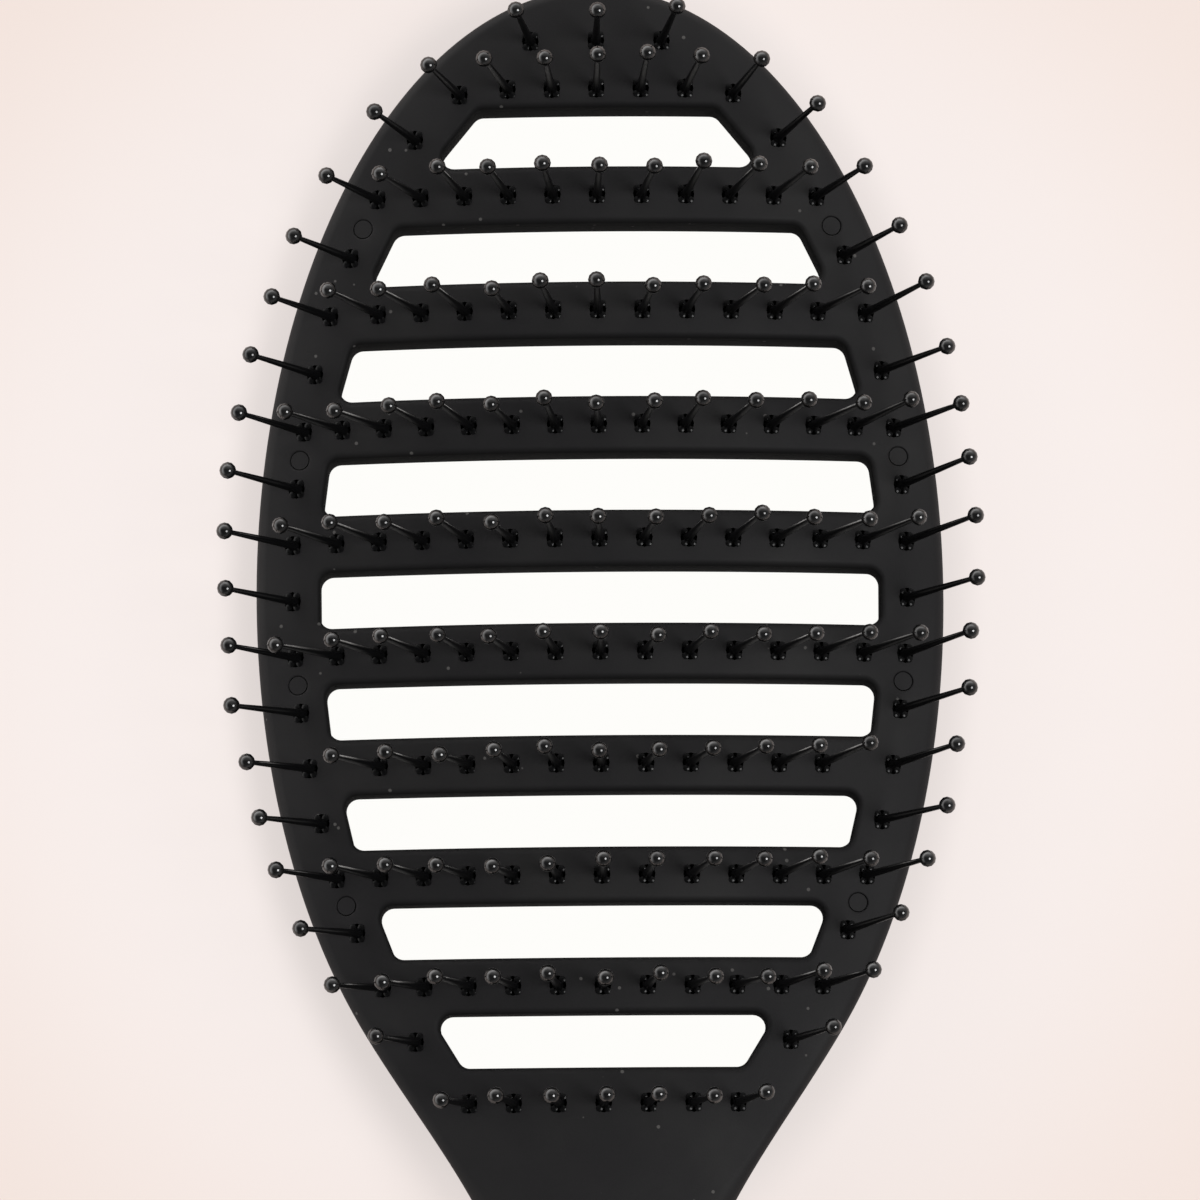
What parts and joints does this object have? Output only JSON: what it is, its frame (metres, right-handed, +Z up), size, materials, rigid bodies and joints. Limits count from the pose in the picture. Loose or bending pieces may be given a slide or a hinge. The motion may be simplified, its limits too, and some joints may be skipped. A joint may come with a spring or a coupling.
{
  "type": "vent brush",
  "caption": "Vent hairbrush: a bowed oval head with slots through it, ball-tipped pins standing square to its face, and a plain rounded handle.",
  "frame": {"origin": "bottom centre of the brush lying on its back: on the table, under the middle of its overall width and length", "axes": "+X to the right across the head, +Y along the brush from the handle to the tip of the head, +Z up out of the face, the way the pins point"},
  "size_m": [0.0834, 0.25, 0.0338],
  "materials": {
    "front_soft_touch": "soft-touch black, very fine satin grain",
    "back_soft_touch": "soft-touch black, very fine satin grain",
    "pin_nylon": "glossy moulded nylon"
  },
  "bodies": {
    "root": {"front_shell": "front_soft_touch", "back_shell": "back_soft_touch", "pin_row_01": "pin_nylon", "pin_row_02": "pin_nylon", "pin_row_03": "pin_nylon", "pin_row_04": "pin_nylon", "pin_row_05": "pin_nylon", "pin_row_06": "pin_nylon", "pin_row_07": "pin_nylon", "pin_row_08": "pin_nylon", "pin_row_09": "pin_nylon", "pin_row_10": "pin_nylon", "pin_row_11": "pin_nylon", "side_pin_L1": "pin_nylon", "side_pin_L2": "pin_nylon", "side_pin_L3": "pin_nylon", "side_pin_L4": "pin_nylon", "side_pin_L5": "pin_nylon", "side_pin_L6": "pin_nylon", "side_pin_L7": "pin_nylon", "side_pin_L8": "pin_nylon", "side_pin_L9": "pin_nylon", "side_pin_R1": "pin_nylon", "side_pin_R2": "pin_nylon", "side_pin_R3": "pin_nylon", "side_pin_R4": "pin_nylon", "side_pin_R5": "pin_nylon", "side_pin_R6": "pin_nylon", "side_pin_R7": "pin_nylon", "side_pin_R8": "pin_nylon", "side_pin_R9": "pin_nylon"}
  },
  "joints": []
}
